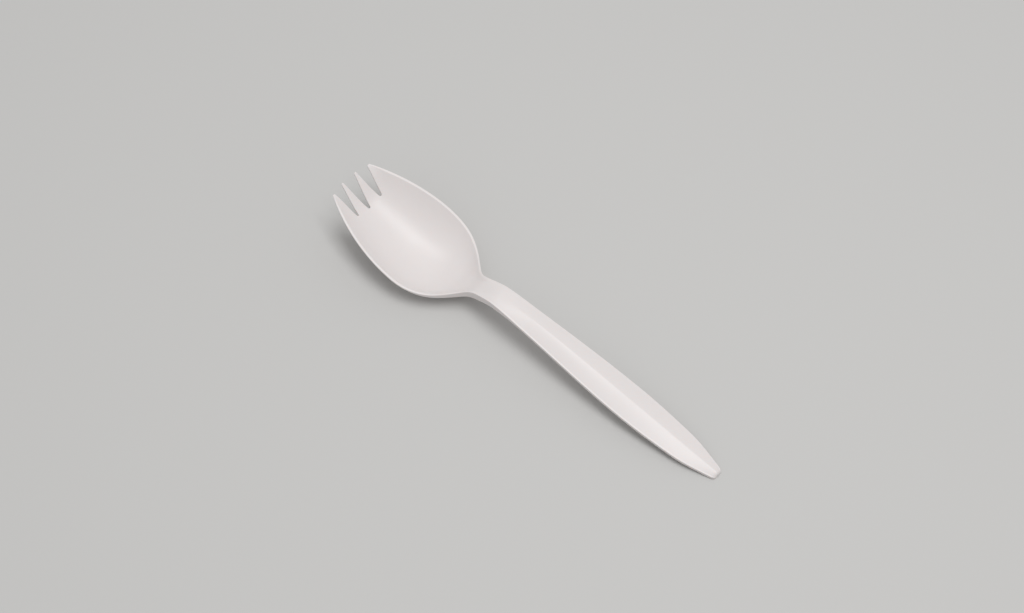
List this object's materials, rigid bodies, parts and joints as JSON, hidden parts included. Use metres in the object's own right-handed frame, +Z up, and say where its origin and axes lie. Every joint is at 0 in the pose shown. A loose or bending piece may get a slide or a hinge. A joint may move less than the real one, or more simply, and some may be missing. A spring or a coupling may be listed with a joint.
{
  "type": "disposable plastic spork",
  "caption": "Disposable moulded plastic spork: a deep spoon bowl with short pointed tines at its front and a long leaf-shaped handle with a low ridge along its top.",
  "frame": {"origin": "on the surface that the spork rests on, under the middle of its length and width", "axes": "+X along the spork, from the tines to the end of the handle; +Z up, out of the bowl's hollow; +Y across the spork, to the left of someone who looks along +X"},
  "size_m": [0.1612, 0.0344, 0.0181],
  "materials": {
    "white_plastic": "satin"
  },
  "bodies": {
    "root": {"spork": "white_plastic"}
  },
  "joints": []
}
